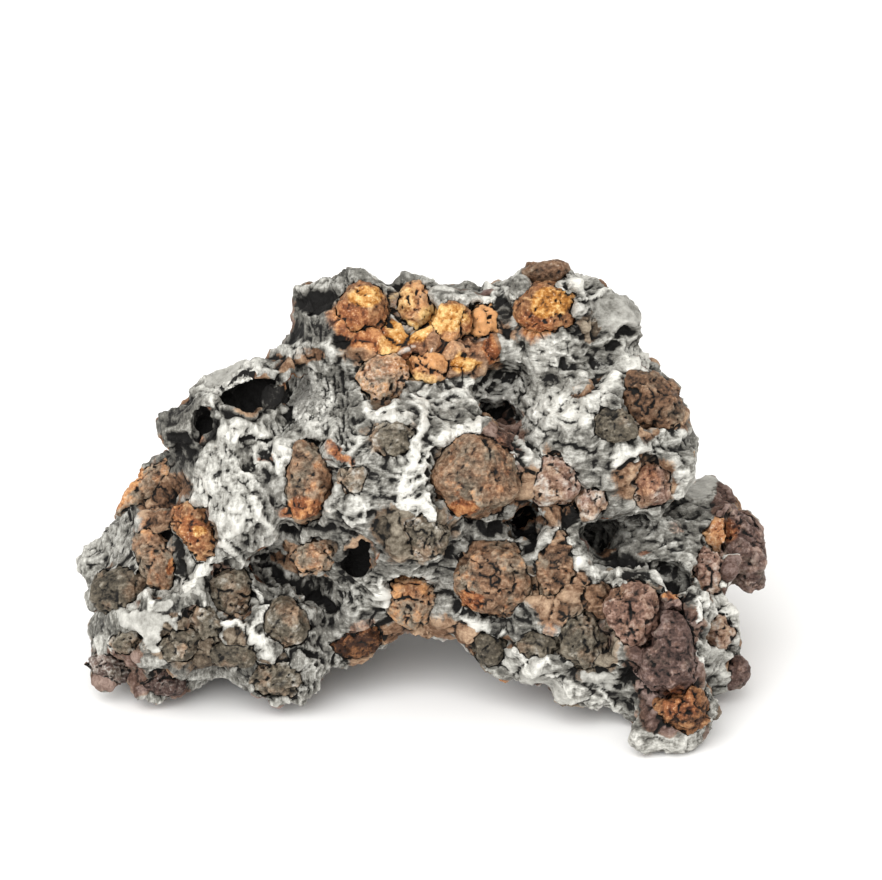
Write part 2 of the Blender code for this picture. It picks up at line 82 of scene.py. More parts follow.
# Soft-edged areas of the face: across, up, half across, half up, roll, strength.
faceAreas = {
    # bright bare metal, in part a painted highlight where the face catches the light
    "bright": [
        # left lobe
        (-25.9, -21.8, 3.8, 1.1, -3, 0.75),
        (-33.5, -19.9, 2.5, 0.8, 5, 0.6),
        (-39.6, -17.4, 1.4, 1.2, -30, 0.65),
        (-40.0, -5.4, 3.1, 2.5, 35, 0.42),
        (-22.2, -12.0, 1.0, 1.5, 0, 0.5),
        # left flank
        (-27.1, 3.2, 1.5, 2.5, 0, 0.85),
        (-23.4, -2.0, 2.2, 2.8, -15, 0.9),
        (-24.4, 1.8, 3.8, 5.0, 0, 0.62),
        (-19.4, 6.1, 2.2, 1.5, 0, 1),
        (-21.6, 9.1, 4.2, 1.1, 3, 0.85),
        (-25.6, 6.1, 2.2, 1.8, 0, 0.45),
        (-29.1, 0.8, 1.5, 0.9, 0, 0.45),
        (-18.9, -4.5, 1.5, 1.8, -50, 0.6),
        # upper left
        (-24.0, 16.8, 4.2, 2.3, 28, 1),
        (-21.9, 18.6, 1.0, 0.5, 0, 0.8),
        # raised past full as a painted highlight on a recessed, shaded spot
        (-14.4, 12.8, 2.8, 3.0, 0, 1.25),
        (-12.6, 10.0, 2.0, 1.0, 0, 0.6),
        (-14.0, 16.8, 0.8, 0.5, 0, 0.95),
        # crown
        (-13.4, 27.4, 2.8, 0.5, 8, 0.6),
        (-13.9, 20.4, 3.0, 1.0, 0, 0.75),
        (-14.0, 23.2, 2.2, 1.5, 0, 0.42),
        (-15.6, 19.0, 2.2, 0.8, 0, 0.5),
        (-0.4, 13.0, 1.2, 1.0, 0, 1),
        (-4.6, 11.4, 2.8, 0.9, -5, 1),
        (10.9, 18.8, 1.2, 1.6, 0, 1),
        (7.1, 14.0, 6.2, 1.5, 12, 0.75),
        (8.0, 26.2, 1.9, 0.8, 10, 0.85),
        (19.0, 28.0, 2.0, 1.6, 0, 0.8),
        (23.4, 28.4, 1.4, 0.6, 0, 0.95),
        # centre
        (-0.9, 4.2, 3.8, 1.5, 66, 0.95),
        (-0.8, 0.2, 2.5, 1.5, 0, 1),
        (4.4, 9.0, 3.2, 1.0, 22, 1),
        (-10.4, 8.8, 2.5, 1.2, -35, 0.5),
        (-8.5, -1.0, 1.4, 1.8, -20, 0.55),
        (-8.6, -11.5, 3.0, 1.4, -20, 0.45),
        (13.4, 6.8, 1.5, 2.0, 0, 0.5),
        # right flank
        (15.6, 18.4, 3.2, 2.0, 20, 0.85),
        (22.1, 17.2, 1.8, 1.0, 0, 0.6),
        (26.6, 17.8, 2.0, 1.5, 20, 0.85),
        (22.1, 14.0, 2.2, 1.0, 50, 0.95),
        (16.8, 11.5, 3.5, 2.2, 5, 0.95),
        (18.6, 14.8, 2.8, 1.1, 15, 0.5),
        (14.0, 9.9, 2.5, 1.0, -20, 0.7),
        (25.9, 6.1, 2.8, 0.8, 20, 0.85),
        (30.2, 8.0, 2.2, 1.1, 15, 0.6),
        (34.1, 2.0, 2.8, 2.4, -40, 0.75),
        (27.1, -2.0, 3.8, 2.8, 0, 0.42),
        (31.1, -5.5, 1.8, 1.0, 0, 0.6),
        (22.1, -3.9, 2.0, 1.8, 0, 0.45),
        # right leg
        (29.9, -8.2, 1.8, 0.6, 10, 0.85),
        (36.9, -12.8, 2.8, 1.1, -15, 0.75),
        (37.9, -21.4, 1.0, 2.1, -10, 0.8),
        (35.5, -19.0, 1.0, 2.2, 0, 0.55),
        (13.4, -20.8, 4.0, 1.8, -25, 0.8),
        (17.1, -22.6, 3.1, 1.0, -20, 0.6),
        (22.1, -25.9, 3.2, 1.0, -35, 0.5),
        (29.0, -29.8, 3.5, 1.0, -10, 0.45),
    ],
    "plate": [
        # star
        (-34.6, -14.8, 2.2, 1.5, 10, 0.7),
        (-36.9, -14.0, 1.5, 0.6, -15, 0.7),
        (-32.5, -12.5, 1.2, 0.8, 30, 0.75),
        (-31.9, -14.6, 1.1, 0.5, 0, 0.75),
        (-33.8, -17.0, 0.6, 1.5, 10, 0.7),
        # others
        (-28.5, -10.1, 1.9, 1.2, 25, 0.8),
        (-14.4, 13.4, 2.4, 2.6, 0, 0.38),
        (-24.5, 16.8, 3.0, 1.2, 28, 0.8),
        (24.0, 24.1, 3.5, 2.2, -15, 0.5),
        (34.4, 2.2, 1.8, 2.0, -40, 0.8),
        (15.5, -23.4, 4.0, 1.2, -28, 0.75),
        (21.8, -22.4, 2.2, 1.1, -15, 0.85),
    ],
    # dark hollows, also sunk into the metal; their black is painted shade, in part dark crust
    "dark": [
        # left
        (-21.4, 13.2, 3.8, 2.0, 12, 1),
        (-27.0, 9.6, 1.4, 2.5, -10, 1),
        (-29.6, 13.2, 1.1, 0.8, 0, 0.6),
        (-31.0, 7.9, 1.5, 1.0, 0, 0.7),
        # crown
        (-13.6, 25.6, 2.6, 1.4, 0, 1),
        (-14.2, 22.6, 3.2, 2.4, 0, 0.3),
        (-10.4, 20.6, 1.4, 1.0, -30, 1),
        (25.6, 21.4, 1.4, 0.8, 10, 0.9),
        (23.8, 19.8, 0.9, 0.6, 0, 0.9),
        (19.0, 21.8, 1.1, 1.4, 30, 0.6),
        # centre
        (-8.5, -7.0, 1.9, 2.6, 0, 1),
        (12.8, -3.0, 1.4, 2.5, 0, 0.9),
        (18.4, -1.0, 0.9, 1.4, 0, 1),
        (8.5, 11.5, 1.4, 0.6, -5, 1),
        (-13.5, 8.0, 1.5, 0.5, -5, 1),
        (7.5, 0.6, 0.9, 0.9, 0, 0.9),
        # right
        (28.4, -9.2, 5.8, 1.4, -28, 1),
        (25.6, -21.5, 1.5, 1.5, -40, 1),
        (38.6, -18.4, 1.0, 0.5, 0, 1),
    ],
    # darker grey metal, in part painted shade on rims and sides of blocks turned from the light
    "dull_and_shade": [
        # left
        (-29.0, -18.0, 12.5, 6.5, 0, 0.75),
        (-31.0, 8.5, 5.0, 5.0, 0, 0.9),
        (-14.2, 23.4, 3.6, 4.2, 0, 0.9),
        (-12.5, -6.0, 5.0, 4.5, 0, 0.6),
        (-7.0, 28.4, 6.0, 1.2, 0, 0.8),
        # right
        (9.8, 21.0, 2.0, 5.0, 0, 1),
        (12.5, 28.5, 2.5, 1.4, 0, 0.8),
        (8.0, -16.0, 9.0, 3.5, -20, 0.5),
        (22.5, -2.0, 6.0, 4.0, 0, 0.5),
        (37.5, 2.0, 4.0, 4.0, 0, 0.9),
        (7.0, 2.0, 3.0, 9.0, 0, 0.5),
    ],
    "ember": [
        # left
        (-28.8, -3.2, 1.9, 1.5, -40, 1),
        (-30.8, -1.0, 1.2, 1.5, 0, 0.55),
        (-31.6, -7.9, 0.6, 1.0, -20, 0.9),
        (-34.4, -3.0, 1.5, 1.1, 0, 0.4),
        (-36.9, 1.8, 4.8, 0.5, 52, 0.8),
        (-19.6, 6.0, 0.9, 0.4, 0, 0.7),
        # crown
        (-9.2, 23.2, 2.6, 2.0, 0, 0.8),
        (-6.4, 20.8, 2.8, 1.2, 5, 1),
        (7.4, 22.5, 2.1, 2.5, 0, 0.7),
        (-0.4, 17.6, 3.6, 1.4, 0, 0.7),
        (8.4, 18.8, 1.2, 1.5, 0, 0.9),
        (14.0, 22.2, 2.4, 1.8, 0, 0.9),
        (-0.5, 20.5, 8.5, 4.2, 0, 0.45),
        # centre
        (-15.0, -0.4, 3.0, 1.2, 0, 0.8),
        (-10.1, 6.6, 1.8, 0.6, -30, 0.8),
        (4.9, -0.5, 1.8, 1.1, 0, 0.9),
        (10.2, 6.1, 1.1, 3.0, 0, 0.4),
        (6.0, -12.0, 1.8, 1.1, 0, 0.85),
        (-1.9, -10.5, 2.5, 1.5, 0, 0.6),
        (-6.4, -7.0, 0.4, 1.2, 0, 0.7),
        (-8.5, -15.8, 2.8, 1.0, 25, 0.5),
        (-13.9, -6.0, 1.2, 1.0, 0, 0.4),
        # right
        (37.8, -3.2, 1.8, 1.6, 0, 0.75),
        (27.8, 3.0, 1.8, 2.2, 0, 0.5),
        (32.1, -25.1, 2.2, 2.0, 0, 0.7),
        (30.9, -11.5, 1.1, 0.4, 0, 0.8),
        (31.6, -2.8, 1.1, 0.8, 0, 0.4),
        (27.2, -5.9, 0.8, 0.6, 0, 0.6),
        (15.2, -15.4, 1.2, 0.6, 30, 0.5),
    ],
    "gold": [
        # crown
        (-7.1, 25.9, 2.2, 1.2, 10, 1),
        (2.6, 23.2, 3.0, 1.7, 0, 1),
        (-1.9, 21.6, 2.2, 1.3, 0, 0.95),
        (-2.2, 25.5, 1.8, 1.6, 0, 0.45),
        (-3.4, 20.2, 2.2, 0.8, 0, 0.7),
        (5.0, 17.5, 1.5, 1.2, 0, 1),
        (0.2, 15.6, 2.0, 0.8, -10, 0.6),
        (16.0, 25.2, 2.5, 1.8, 15, 1),
        # left
        (-27.9, -3.4, 1.0, 0.6, -40, 0.6),
    ],
    "brown": [
        # the whole face
        (-21.6, 15.4, 2.8, 0.8, 10, 0.9),
        (-15.6, 18.2, 3.0, 1.1, 10, 0.9),
        (-15.4, -6.6, 4.0, 2.1, -20, 0.9),
        (-2.9, -17.6, 7.5, 2.8, 15, 0.8),
        (5.9, -17.0, 6.2, 2.0, -15, 0.9),
        (17.1, -10.8, 4.2, 4.2, 0, 0.8),
        (15.2, 1.8, 4.2, 5.0, 0, 0.7),
        (0.9, 19.9, 10.5, 4.5, 0, 0.9),
        (20.9, 14.6, 3.2, 1.0, 15, 0.7),
        (15.2, 30.2, 3.0, 1.0, 0, 0.9),
        (-32.2, 0.5, 3.8, 3.2, 45, 0.7),
        (29.6, 11.8, 4.2, 4.2, 0, 0.7),
        (27.8, 3.0, 4.2, 3.2, 0, 0.7),
    ],
    "olive": [
        # the whole face
        (-1.4, -3.2, 4.8, 3.8, 0, 0.95),
        (21.1, -17.0, 3.5, 5.2, 0, 0.9),
        (-2.2, 25.1, 2.5, 2.2, 0, 0.8),
        (20.9, 22.0, 1.5, 1.8, 0, 0.8),
        (-27.9, -17.0, 6.2, 3.8, 0, 0.8),
        (-4.1, 8.0, 3.8, 2.8, 0, 0.6),
    ],
    "plum": [
        # the whole face
        (30.6, -18.9, 4.8, 7.5, 0, 0.95),
        (-38.5, -20.8, 3.8, 3.8, 0, 0.8),
        (39.9, -7.0, 3.8, 6.5, 0, 0.95),
        (38.0, 1.5, 3.0, 3.0, 0, 0.9),
        (30.9, -26.0, 3.8, 3.0, 0, 0.95),
        (-32.9, -23.0, 3.8, 1.2, 0, 0.9),
        (10.2, 6.8, 2.5, 5.0, 0, 0.8),
    ],
}

faceStrokes = {
    "cleft": [
        # left lobe
        (0.62, 1, (-32.1, -3.2), (-30.9, -5.8), (-30.1, -7.8), (-30.0, -9.5)),
        (0.20, 0.8, (-27.1, -9.8), (-26.2, -8.1), (-24.0, -7.2), (-22.1, -7.9), (-21.0, -9.5)),
        (0.33, 1, (-26.2, -10.5), (-24.4, -11.0), (-22.6, -11.2), (-20.9, -11.5)),
        (0.31, 1, (-30.6, -14.6), (-29.6, -13.4), (-28.4, -12.5)),
        (0.75, 1, (-18.8, -8.0), (-17.5, -9.5), (-15.4, -10.5), (-13.1, -11.8), (-11.1, -12.9)),
        (0.50, 1, (-17.8, -2.8), (-15.4, -3.2), (-11.4, -2.9)),
        (0.38, 1, (-18.5, -19.6), (-16.1, -19.2), (-13.9, -19.0)),
        (0.20, 0.8, (-40.6, -13.2), (-38.9, -13.6), (-36.6, -13.2), (-35.4, -12.0)),
        (0.20, 0.7, (-22.9, -14.0), (-21.6, -17.0), (-20.1, -18.2)),
        (0.31, 0.9, (-33.1, -22.2), (-31.6, -21.4), (-30.4, -21.6)),
        # upper left
        (0.38, 1, (-17.9, 15.8), (-17.0, 12.5), (-16.4, 9.8)),
        (0.50, 1, (-30.6, 7.1), (-29.1, 6.5), (-28.8, 4.5)),
        (0.25, 0.9, (-22.9, 8.2), (-20.1, 7.9), (-17.4, 8.0)),
        # crown
        (0.25, 1, (-4.0, 27.0), (-4.0, 24.0), (-3.9, 21.5)),
        (0.31, 1, (-11.2, 23.5), (-11.2, 25.5), (-10.2, 27.0)),
        (0.25, 0.9, (-9.1, 21.6), (-7.4, 22.1), (-6.1, 22.4), (-5.1, 22.9)),
        (0.21, 0.9, (5.1, 20.2), (5.1, 23.6), (6.4, 25.2), (8.4, 25.1), (9.8, 23.2)),
        (0.38, 1, (10.0, 25.8), (10.6, 24.0), (10.5, 20.8)),
        (0.25, 1, (9.6, 11.6), (11.4, 13.0), (13.4, 14.8)),
        (0.38, 1, (17.9, 28.5), (19.0, 26.8), (20.1, 25.2)),
        (0.19, 0.8, (-8.1, 19.0), (-8.2, 15.5), (-7.4, 12.8)),
        (0.19, 0.8, (-1.5, 19.0), (0.9, 16.5), (3.1, 16.2)),
        # centre
        (0.62, 1, (7.9, 8.8), (8.4, 7.2), (8.6, 6.0)),
        (0.38, 1, (0.6, 2.5), (0.9, 5.5), (2.2, 7.2)),
        (0.50, 1, (4.9, -2.2), (7.8, -3.0), (11.1, -2.5), (12.2, -0.8)),
        (0.38, 1, (4.1, -12.5), (4.9, -13.8), (7.1, -14.5), (10.2, -14.2)),
        (0.33, 1, (-6.4, 9.5), (-4.6, 10.5), (-2.4, 10.4), (-0.8, 8.8)),
        (0.20, 0.8, (-10.5, 4.2), (-10.2, 1.8), (-8.9, 0.6)),
        (0.38, 1, (2.6, -11.0), (3.5, -12.5), (4.1, -13.5)),
        (0.31, 0.9, (-10.4, -3.5), (-8.9, -4.0), (-7.1, -4.5)),
        (0.25, 0.8, (2.1, -4.5), (3.6, -3.2), (4.9, -2.5)),
        (0.18, 0.6, (5.9, -7.0), (7.4, -7.8), (6.9, -9.0), (8.6, -9.5)),
        (0.18, 0.6, (8.1, -7.0), (9.1, -8.2), (8.4, -10.0), (9.6, -11.0)),
        (0.20, 0.7, (-3.9, -9.8), (-2.4, -10.0), (-0.4, -9.8)),
        (0.20, 0.7, (-4.1, -12.0), (-2.6, -11.8), (0.1, -12.2)),
        # right
        (0.25, 0.6, (25.6, 14.5), (27.1, 13.5), (26.4, 12.2), (28.1, 11.5), (29.0, 12.8)),
        (0.22, 0.6, (26.6, 15.0), (27.9, 14.5), (28.9, 13.5)),
        (0.22, 0.6, (25.4, 13.2), (26.1, 11.8), (27.4, 10.8)),
        (0.20, 0.8, (16.1, 8.0), (19.0, 7.2), (21.8, 6.5)),
        (0.33, 1, (24.5, 4.6), (26.5, 5.5), (28.1, 6.0)),
        (0.25, 0.8, (39.4, -2.0), (40.1, -3.5), (41.1, -4.1)),
        (0.38, 1, (17.1, -0.1), (17.9, -2.0), (17.4, -3.2)),
        (0.50, 1, (27.4, -19.8), (26.1, -21.2), (24.4, -22.8)),
        (0.33, 1, (27.1, -23.4), (29.6, -23.2), (31.2, -24.2)),
        (0.19, 0.9, (20.2, -12.9), (21.5, -16.6), (22.1, -18.5)),
        (0.19, 0.9, (19.0, -13.5), (20.0, -16.0), (20.9, -18.9)),
        (0.28, 1, (18.6, -20.5), (22.1, -21.1), (24.4, -20.0)),
        (0.23, 0.9, (13.4, -23.2), (17.1, -24.8), (20.9, -27.2), (23.6, -29.8)),
        (0.25, 0.9, (25.9, -12.2), (26.1, -14.8), (26.6, -17.0)),
        (0.23, 0.8, (34.6, -7.0), (36.1, -8.5), (35.1, -10.8)),
        (0.31, 1, (11.5, 8.0), (12.4, 6.1), (12.9, 4.2)),
    ],
    "vein": [
        # left lobe
        (0.56, 0.85, (-36.0, -8.9), (-35.1, -10.0), (-34.1, -11.8), (-33.9, -12.8)),
        (0.31, 0.95, (-25.5, -4.2), (-24.1, -5.8), (-22.5, -7.1), (-20.6, -6.9)),
        (0.50, 0.9, (-26.1, -7.8), (-27.9, -8.5), (-29.6, -10.5)),
        (0.38, 0.95, (-27.1, -12.0), (-26.0, -13.9), (-24.4, -15.2), (-21.8, -15.4)),
        (0.50, 1, (-21.8, -15.2), (-20.6, -17.0), (-19.6, -18.5), (-18.5, -19.6)),
        (0.38, 0.95, (-20.4, -12.8), (-20.6, -14.2), (-21.6, -15.4)),
        (0.20, 0.8, (-24.4, -15.5), (-24.1, -17.2)),
        (0.25, 0.8, (-21.1, -9.5), (-20.5, -11.8)),
        (0.25, 0.7, (-31.1, -14.8), (-30.4, -14.0)),
        # left flank
        (0.42, 1, (-21.6, 0.8), (-20.4, -1.2), (-19.4, -3.2), (-18.1, -5.0), (-17.1, -6.1)),
        (0.33, 0.9, (-28.4, 4.8), (-27.4, 3.0), (-26.4, 1.5)),
        (0.31, 0.9, (-27.0, 13.8), (-26.1, 12.5), (-25.6, 11.1)),
        # crown
        (0.23, 0.95, (0.4, 19.9), (0.9, 18.2), (1.0, 16.6)),
        (0.20, 0.8, (-15.6, 27.0), (-13.9, 27.5), (-11.6, 27.8)),
        (0.15, 0.8, (-6.1, 19.4), (-4.6, 20.9), (-3.6, 21.2)),
        (0.15, 0.7, (-6.1, 19.4), (-4.1, 19.2), (-1.4, 19.6)),
        (0.28, 1, (19.9, 25.5), (21.6, 26.0), (23.6, 27.0), (24.8, 27.5)),
        (0.19, 0.95, (22.1, 29.0), (23.6, 28.5), (24.6, 29.0)),
        (0.16, 0.9, (22.9, 29.2), (24.1, 27.8)),
        (0.28, 0.7, (10.1, 27.2), (11.4, 25.5), (11.1, 21.8)),
        # centre
        (0.50, 1, (1.6, 7.8), (4.0, 9.1), (7.1, 10.0)),
        (0.75, 0.95, (-0.1, 12.5), (0.1, 9.9), (-0.9, 6.8), (-2.1, 3.0), (-2.4, 0.5)),
        (0.62, 1, (-2.4, 0.5), (-0.4, 0.2), (0.9, -1.0), (1.4, -2.0)),
        (0.28, 1, (-4.9, -9.4), (-5.2, -11.0), (-5.1, -13.0)),
        (0.33, 1, (4.4, -13.2), (5.6, -14.8), (7.9, -15.5), (10.4, -16.0)),
        (0.23, 0.9, (-8.9, 0.5), (-7.4, -0.1), (-7.6, -1.8), (-9.1, -2.9), (-9.6, -1.4), (-8.9, 0.5)),
        (0.21, 0.8, (11.6, 8.0), (12.0, 5.2), (12.2, 2.5)),
        (0.30, 0.8, (7.6, 5.5), (6.5, 4.8)),
        (0.38, 0.55, (-11.9, 10.5), (-9.8, 10.0), (-8.4, 8.0), (-7.6, 6.0)),
        # right
        (0.28, 0.95, (17.1, -3.0), (18.6, -4.5), (19.4, -6.8)),
        (0.53, 1, (19.4, -7.0), (20.4, -8.5), (22.6, -8.2), (25.1, -7.5), (27.4, -8.2), (29.4, -10.2)),
        (0.44, 0.95, (23.6, 5.1), (25.9, 6.1), (28.4, 7.0)),
        (0.50, 0.95, (20.6, 12.5), (21.9, 13.8), (23.6, 15.8)),
        (0.33, 0.9, (34.2, -12.0), (36.1, -11.0), (37.9, -10.1)),
        (0.33, 0.9, (10.6, -18.2), (12.1, -19.5), (13.4, -21.0), (15.9, -19.8)),
        (0.25, 0.8, (22.1, -23.2), (23.6, -25.0), (24.1, -26.1)),
        (0.20, 0.8, (13.1, 0.5), (13.9, -1.0), (15.1, -1.5)),
        (0.19, 0.8, (34.4, -12.5), (34.6, -14.8)),
    ],
}


def facePlaces(points):
    offset = points - eye
    depth = -(offset @ toward)
    across = offset @ rightward / depth * eyeDistance + eyeShift[0]
    up = offset @ upward / depth * eyeDistance + eyeShift[1]
    return np.stack((across, up), axis=1) / mm


def smoothStep(low, high, values):
    t = np.clip((values - low) / (high - low), 0, 1)
    return t * t * (3 - 2 * t)


def areaStrength(places, rows):
    strength = np.zeros(len(places))
    for across, up, halfAcross, halfUp, roll, full in rows:
        angle = math.radians(roll)
        dx, dy = places[:, 0] - across, places[:, 1] - up
        x = (dx * math.cos(angle) + dy * math.sin(angle)) / halfAcross
        y = (dy * math.cos(angle) - dx * math.sin(angle)) / halfUp
        strength = np.maximum(strength, full * smoothStep(1.3, 0.8, np.hypot(x, y)))
    return strength


def strokeStrength(places, strokes, flatShare):
    # lines through the given places, full over a share of their width and gone at its edge
    strength = np.zeros(len(places))
    for halfWidth, full, *route in strokes:
        for start, end in zip(route, route[1:]):
            first, run = np.array(start), np.subtract(end, start)
            share = np.clip((places - first) @ run / (run @ run), 0, 1)
            gap = np.linalg.norm(places - first - share[:, None] * run, axis=1)
            strength = np.maximum(strength, full * smoothStep(1.4, flatShare, gap / halfWidth))
    return strength


def scrambled(cell, salt):
    # a repeatable number from 0 to 1 for each whole-numbered place
    mixed = (cell[:, 0] * 73856093) ^ (cell[:, 1] * 19349663) ^ (cell[:, 2] * 83492791) ^ (salt * 6542989)
    mixed = (mixed ^ (mixed >> 15)) * 73244475
    mixed = (mixed ^ (mixed >> 13)) * 295559667
    return ((mixed ^ (mixed >> 16)) & 0xFFFFFF) / 0xFFFFFF


def smoothNoise(points, salt):
    # gradient noise, about -1 to 1
    cell = np.floor(points).astype(np.int64)
    local = points - cell
    fade = local**3 * (local * (local * 6 - 15) + 10)
    total = np.zeros(len(points))
    for corner in itertools.product((0, 1), repeat=3):
        step = np.array(corner)
        weight = np.where(step, fade, 1 - fade).prod(axis=1)
        slope = np.stack([scrambled(cell + step, salt + k) for k in range(3)], axis=1) * 2 - 1
        total += weight * ((local - step) * slope).sum(axis=1)
    return total * 1.7


finer, fainter = 2.03, 0.5    # how each layer of a noise differs from the one before


def layered(points, scale, octaves, salt):
    # a salt gives each noise its own pattern, the same in each run
    total = np.zeros(len(points))
    for octave in range(octaves):
        total += fainter**octave * smoothNoise(points / scale * finer**octave, salt + 11 * octave)
    return total


def ridges(points, scale, octaves, salt):
    # sharp crests near 1, hollows near 0
    total, weight = np.zeros(len(points)), np.ones(len(points))
    for octave in range(octaves):
        wave = smoothNoise(points / scale * finer**octave, salt + 11 * octave)
        crest = np.clip(1 - 1.6 * np.abs(wave), 0, 1) ** 2
        total += fainter**octave * crest * weight
        weight = 0.35 + 0.65 * crest
    return total / 1.4


def warped(points, scale, amount, salt):
    bend = np.stack([layered(points, scale, 2, salt + 40 * k) for k in range(3)], axis=1)
    return points + bend * amount


def grains(points, scale, salt):
    # for the grain a point is in: how far its edge is, a number, and the slope of its face
    where = points / scale
    cell = np.floor(where).astype(np.int64)
    nearest, second = np.full(len(points), 9.0), np.full(len(points), 9.0)
    home, offset = cell.copy(), np.zeros_like(where)
    for corner in itertools.product((-1, 0, 1), repeat=3):
        there = cell + np.array(corner)
        away = where - there - np.stack([scrambled(there, salt + k) for k in range(3)], axis=1)
        gap = np.linalg.norm(away, axis=1)
        closer = gap < nearest
        second = np.where(closer, nearest, np.minimum(second, gap))
        nearest = np.where(closer, gap, nearest)
        home[closer], offset[closer] = there[closer], away[closer]
    slope = np.stack([scrambled(home, salt + 20 + k) for k in range(3)], axis=1) * 2 - 1
    return second - nearest, scrambled(home, salt + 7), (offset * slope).sum(axis=1)


def evaluatedMesh(obj):
    graph = bpy.context.evaluated_depsgraph_get()
    return bpy.data.meshes.new_from_object(obj.evaluated_get(graph))


def cadMesh(name):
    work = bmesh.new()
    work.from_mesh(frame["nodes"][name].data)
    bmesh.ops.remove_doubles(work, verts=work.verts[:], dist=1e-6)
    bmesh.ops.triangulate(work, faces=work.faces[:])
    mesh = bpy.data.meshes.new(name + "_copy")
    work.to_mesh(mesh)
    work.free()
    return mesh


def refined(mesh, step):
    helper = bpy.data.objects.new("helper", mesh)
    bpy.context.scene.collection.objects.link(helper)
    remesh = helper.modifiers.new("Refine", "REMESH")
    remesh.mode = "VOXEL"
    remesh.voxel_size = step
    bpy.context.view_layer.update()
    fine = evaluatedMesh(helper)
    bpy.data.objects.remove(helper)
    return fine


def vertexPlaces(mesh):
    flat = np.empty(len(mesh.vertices) * 3)
    mesh.vertices.foreach_get("co", flat)
    return flat.reshape(-1, 3)


def vertexNormals(mesh):
    mesh.update()
    flat = np.empty(len(mesh.vertices) * 3)
    mesh.vertices.foreach_get("normal", flat)
    return flat.reshape(-1, 3)


def placeVertices(mesh, points):
    mesh.vertices.foreach_set("co", points.ravel())
    mesh.update()


def edgeEnds(mesh):
    flat = np.empty(len(mesh.edges) * 2, dtype=np.int64)
    mesh.edges.foreach_get("vertices", flat)
    return flat.reshape(-1, 2)


def averaged(values, edges, rounds, share=0.5):
    # each vertex drifts to the mean of its neighbours
    count = len(values)
    degree = np.maximum(np.bincount(edges.ravel(), minlength=count), 1)
    columns = values.reshape(count, -1).copy()
    for _ in range(rounds):
        for k in range(columns.shape[1]):
            column = columns[:, k]
            total = np.bincount(edges[:, 0], column[edges[:, 1]], count)
            total += np.bincount(edges[:, 1], column[edges[:, 0]], count)
            columns[:, k] = column + share * (total / degree - column)
    return columns.reshape(values.shape)


def despiked(points, edges, reach):
    # thin spikes drawn back to what they stand on
    for _ in range(3):
        smooth = averaged(points, edges, 6)
        away = np.linalg.norm(points - smooth, axis=1)
        points = points + (smooth - points) * smoothStep(reach, 2 * reach, away)[:, None]
    return points


def setAttribute(mesh, name, values):
    layer = mesh.attributes.new(name, "FLOAT", "POINT")
    layer.data.foreach_set("value", np.ascontiguousarray(values, dtype=np.float32))


def reliefOf(points, normals, edges, rounds, reach):
    # above 0 on ridges, below 0 in hollows
    lift = points - averaged(points, edges, rounds)
    return np.clip((lift * normals).sum(axis=1) / reach, -1, 1)


def insideFrame(points):
    edge = 0.02 * mm
    return np.clip(points, np.array(cadLow) + edge, np.array(cadHigh) - edge)


def addPiece(name, mesh, material):
    piece = bpy.data.objects.new(name, mesh)
    bpy.context.scene.collection.objects.link(piece)
    mesh.materials.clear()
    mesh.materials.append(material)
    mesh.polygons.foreach_set("use_smooth", np.ones(len(mesh.polygons), dtype=bool))
    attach(piece, "root")
    return piece


def newMaterial(name):
    material = bpy.data.materials.new(name)
    material.use_nodes = True
    return material, material.node_tree, material.node_tree.nodes["Principled BSDF"]


def addNode(tree, kind, inputs=None, **settings):
    node = tree.nodes.new(kind)
    for key, value in settings.items():
        setattr(node, key, value)
    for key, value in (inputs or {}).items():
        if isinstance(value, bpy.types.NodeSocket):
            tree.links.new(value, node.inputs[key])
        else:
            node.inputs[key].default_value = value
    return node


def combine(tree, operation, first, second=0.0, third=0.0):
    inputs = {0: first, 1: second, 2: third}
    return addNode(tree, "ShaderNodeMath", inputs, operation=operation).outputs[0]


def weighted(tree, *terms):
    # sum of value, weight pairs
    total = 0.0
    for value, weight in terms:
        total = combine(tree, "MULTIPLY_ADD", value, weight, total)
    return total


def mixColours(tree, share, first, second):
    inputs = {"Factor": share, "A": first, "B": second}
    return addNode(tree, "ShaderNodeMix", inputs, data_type="RGBA").outputs["Result"]


def rampNode(tree, value, stops):
    node = addNode(tree, "ShaderNodeValToRGB", {"Fac": value})
    band = node.color_ramp.elements
    while len(band) < len(stops):
        band.new(0.5)
    for element, (position, colour) in zip(band, stops):
        element.position = position
        element.color = (*colour, 1)
    return node.outputs["Color"]


def readAttribute(tree, name):
    return addNode(tree, "ShaderNodeAttribute", attribute_name=name).outputs["Fac"]


def between(tree, value, low, high):
    inputs = {"Value": value, "From Min": low, "From Max": high}
    return addNode(tree, "ShaderNodeMapRange", inputs, interpolation_type="SMOOTHSTEP").outputs["Result"]


def noiseNode(tree, place, scale, detail, roughness):
    inputs = {"Vector": place, "Scale": scale, "Detail": detail, "Roughness": roughness}
    return addNode(tree, "ShaderNodeTexNoise", inputs).outputs["Fac"]


def objectPlace(tree):
    return addNode(tree, "ShaderNodeTexCoord").outputs["Object"]


def bumped(tree, height, strength, distance):
    inputs = {"Height": height, "Strength": strength, "Distance": distance}
    return addNode(tree, "ShaderNodeBump", inputs).outputs["Normal"]


def newGroup(name, inputs, outputs):
    # a node group whose sockets have the given names and kinds
    tree = bpy.data.node_groups.new(name, "ShaderNodeTree")
    for direction, sockets in (("INPUT", inputs), ("OUTPUT", outputs)):
        for label, kind in sockets.items():
            tree.interface.new_socket(label, in_out=direction, socket_type="NodeSocket" + kind)
    return tree, tree.nodes.new("NodeGroupInput").outputs, tree.nodes.new("NodeGroupOutput").inputs


def placeGroup(tree, name, inputs):
    return addNode(tree, "ShaderNodeGroup", inputs, node_tree=bpy.data.node_groups[name]).outputs
